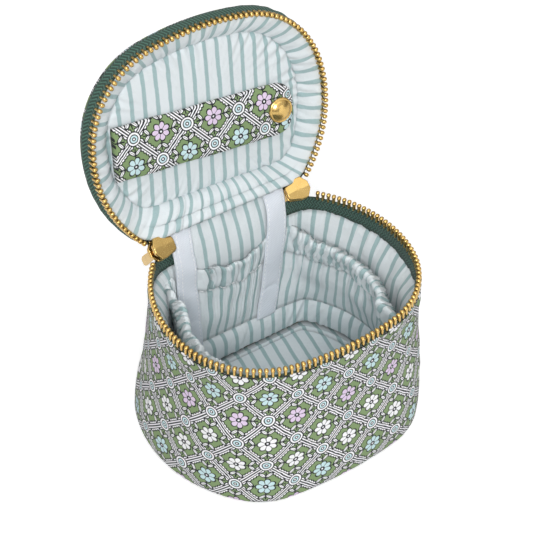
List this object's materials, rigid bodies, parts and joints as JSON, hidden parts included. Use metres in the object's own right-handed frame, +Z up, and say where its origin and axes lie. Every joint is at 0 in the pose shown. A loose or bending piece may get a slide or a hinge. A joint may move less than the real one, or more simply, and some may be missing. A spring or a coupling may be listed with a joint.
{
  "type": "jewelry case",
  "caption": "Small padded cloth jewelry case with a D-shaped tub, a zipped lid open on its cloth hinge, gathered inner pockets and a snap-down ring bar.",
  "frame": {"origin": "centre of the tub's flat underside", "axes": "+Z up, +X to the right along the hinge seen from the front, +Y to the back where the lid is hinged"},
  "size_m": [0.1276, 0.1248, 0.1669],
  "materials": {
    "print_cloth": "matt printed cotton",
    "ticking_cloth": "matt striped cotton",
    "white_binding": "matt woven tape",
    "foam": "open foam padding",
    "board": "stiff sheet",
    "elastic": "woven elastic",
    "zip_tape": "herringbone tape",
    "brass": "polished"
  },
  "bodies": {
    "tub": {"bottom_panel": "print_cloth", "bottom_board": "board", "floor_pad": "foam", "floor_lining": "ticking_cloth", "wall_band": "print_cloth", "back_panel": "print_cloth", "wall_foam": "foam", "wall_lining": "ticking_cloth", "back_lining": "ticking_cloth", "left_binding": "white_binding", "right_binding": "white_binding", "back_pocket": "ticking_cloth", "left_pocket": "ticking_cloth", "right_pocket": "ticking_cloth", "back_pocket_elastic": "elastic", "left_pocket_elastic": "elastic", "right_pocket_elastic": "elastic", "tub_tape": "zip_tape", "tub_teeth": "brass"},
    "lid": {"lid_band": "print_cloth", "lid_back_end": "print_cloth", "lid_panel": "print_cloth", "lid_foam": "foam", "lid_side_foam": "foam", "lid_pad": "ticking_cloth", "lid_lining": "ticking_cloth", "lid_back_lining": "ticking_cloth", "lid_tape": "zip_tape", "lid_teeth": "brass", "snap_stud": "brass", "snap_stud_back": "brass"},
    "ring_bar_flap": {"ring_bar": "print_cloth", "ring_bar_core": "foam", "snap_cap": "brass", "snap_socket": "brass"},
    "left_slider": {"left_slider": "brass"},
    "right_slider": {"right_slider": "brass"},
    "left_pull": {"left_pull": "brass"},
    "right_pull": {"right_pull": "brass"}
  },
  "joints": [
    {"name": "lid_hinge", "type": "hinge", "parent": "tub", "child": "lid", "pos_m": [0, 0.04485, 0.0784], "axis": [-1, 0, 0], "range_deg": [-103, 0]},
    {"name": "ring_bar_lift", "type": "hinge", "parent": "lid", "child": "ring_bar_flap", "pos_m": [-0.045, 0.06158, 0.12288], "axis": [-0.0958, -0.2239, -0.9699], "range_deg": [0, 40]},
    {"name": "left_slider_tip", "type": "hinge", "parent": "tub", "child": "left_slider", "pos_m": [0, 0.04485, 0.0784], "axis": [-1, 0, 0], "range_deg": [-51.5, 0]},
    {"name": "left_pull_swing", "type": "hinge", "parent": "left_slider", "child": "left_pull", "pos_m": [-0.03541, 0.04655, 0.07627], "axis": [0.9775, 0.1312, -0.165], "range_deg": [0, 70]},
    {"name": "right_slider_tip", "type": "hinge", "parent": "tub", "child": "right_slider", "pos_m": [0, 0.04485, 0.0784], "axis": [-1, 0, 0], "range_deg": [-51.5, 0]},
    {"name": "right_pull_swing", "type": "hinge", "parent": "right_slider", "child": "right_pull", "pos_m": [0.03541, 0.04655, 0.07627], "axis": [0.9775, -0.1312, 0.165], "range_deg": [0, 70]}
  ],
  "couplings": [
    {"joint": "left_slider_tip", "follows": "lid_hinge", "ratio": 0.5},
    {"joint": "right_slider_tip", "follows": "lid_hinge", "ratio": 0.5}
  ]
}
